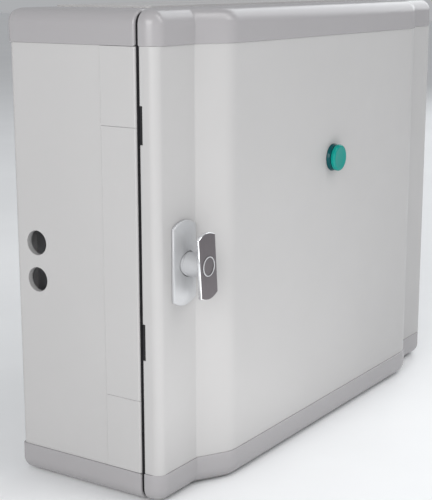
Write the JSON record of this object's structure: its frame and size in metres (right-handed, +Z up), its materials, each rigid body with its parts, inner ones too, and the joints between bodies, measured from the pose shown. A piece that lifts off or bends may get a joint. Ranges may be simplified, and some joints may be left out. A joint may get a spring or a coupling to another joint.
{
  "type": "phone charging cabinet",
  "caption": "Lockable two-row sheet-steel cabinet with a profiled swing door, a quarter-turn handle and a pilot light, fitted inside with a phone rack, charging outlets and a breaker.",
  "frame": {"origin": "centre of the body's underside, the face that it stands on", "axes": "+Z up, the door faces -Y, +X to the right of somebody facing the door"},
  "size_m": [0.575, 0.1976, 0.4518],
  "materials": {
    "panel_paint": "light warm grey powder coat, satin, very fine texture",
    "cap_plastic": "mid grey moulded end caps, satin",
    "zinc_steel": "bright zinc-plated pressings",
    "satin_chrome": "satin chromed die casting",
    "paddle_metal": "dark satin metal face with bright edges",
    "black_plastic": "black moulded plastic",
    "module_plastic": "light grey moulded module cases",
    "test_button_plastic": "yellow test button",
    "seal_rubber": "black foamed seal",
    "pilot_lens_plastic": "teal green translucent lens",
    "pilot_bezel_plastic": "dark teal bezel ring",
    "lead_sheath": "black sheathed two-core lead"
  },
  "bodies": {
    "cabinet": {"side_panel_left": "panel_paint", "side_panel_right": "panel_paint", "cable_plate": "panel_paint", "back_panel": "panel_paint", "top_plate": "panel_paint", "frame_rail_top": "panel_paint", "frame_rail_bottom": "panel_paint", "phone_shelf": "panel_paint", "divider_1": "panel_paint", "divider_2": "panel_paint", "divider_3": "panel_paint", "divider_4": "panel_paint", "divider_5": "panel_paint", "frame_upright_left": "panel_paint", "frame_upright_right": "panel_paint", "frame_corner_top_left": "panel_paint", "frame_corner_top_right": "panel_paint", "frame_corner_bottom_left": "panel_paint", "frame_corner_bottom_right": "panel_paint", "top_cap": "cap_plastic", "bottom_cap": "cap_plastic", "chassis_post_left": "zinc_steel", "chassis_post_right": "zinc_steel", "hinge_bracket_upper": "zinc_steel", "hinge_bracket_lower": "zinc_steel", "din_rail": "zinc_steel", "faceplate_screw_left": "black_plastic", "faceplate_screw_right": "black_plastic", "outlet_bar": "black_plastic", "hinge_pin_upper": "satin_chrome", "hinge_pin_lower": "satin_chrome", "faceplate": "module_plastic", "breaker_body": "module_plastic", "power_supply_1": "module_plastic", "power_supply_2": "module_plastic", "blanking_strip": "module_plastic", "terminal_block": "module_plastic"},
    "door": {"door_panel": "panel_paint", "door_rail_top": "panel_paint", "door_rail_bottom": "panel_paint", "door_cap_top": "cap_plastic", "door_cap_bottom": "cap_plastic", "door_seal": "seal_rubber", "hinge_knuckle_upper": "zinc_steel", "hinge_knuckle_lower": "zinc_steel", "lock_housing": "zinc_steel", "escutcheon": "satin_chrome", "pilot_bezel": "pilot_bezel_plastic", "pilot_lens": "pilot_lens_plastic", "pilot_nut": "black_plastic", "pilot_lamp_block": "black_plastic", "pilot_lead": "lead_sheath"},
    "handle": {"handle_stem": "satin_chrome", "handle_ring": "satin_chrome", "handle_paddle": "paddle_metal", "latch_cam": "zinc_steel", "cam_nut": "zinc_steel"},
    "toggle": {"breaker_toggle": "black_plastic"},
    "test_key": {"test_button": "test_button_plastic"}
  },
  "joints": [
    {"name": "door_swing", "type": "hinge", "parent": "cabinet", "child": "door", "pos_m": [0.28, -0.0865, 0.253], "axis": [0, 0, 1], "range_deg": [0, 110], "deforming": ["pilot_lead"]},
    {"name": "handle_turn", "type": "hinge", "parent": "door", "child": "handle", "pos_m": [-0.248, -0.095, 0.224], "axis": [0, -1, 0], "range_deg": [-4.5, 85.5]},
    {"name": "toggle_flip", "type": "hinge", "parent": "cabinet", "child": "toggle", "pos_m": [-0.202, -0.044, 0.112], "axis": [1, 0, 0], "range_deg": [0, 70]},
    {"name": "test_press", "type": "slide", "parent": "cabinet", "child": "test_key", "axis": [0, 1, 0], "range_m": [0, 0.002], "stiffness_N_per_m": 300}
  ]
}
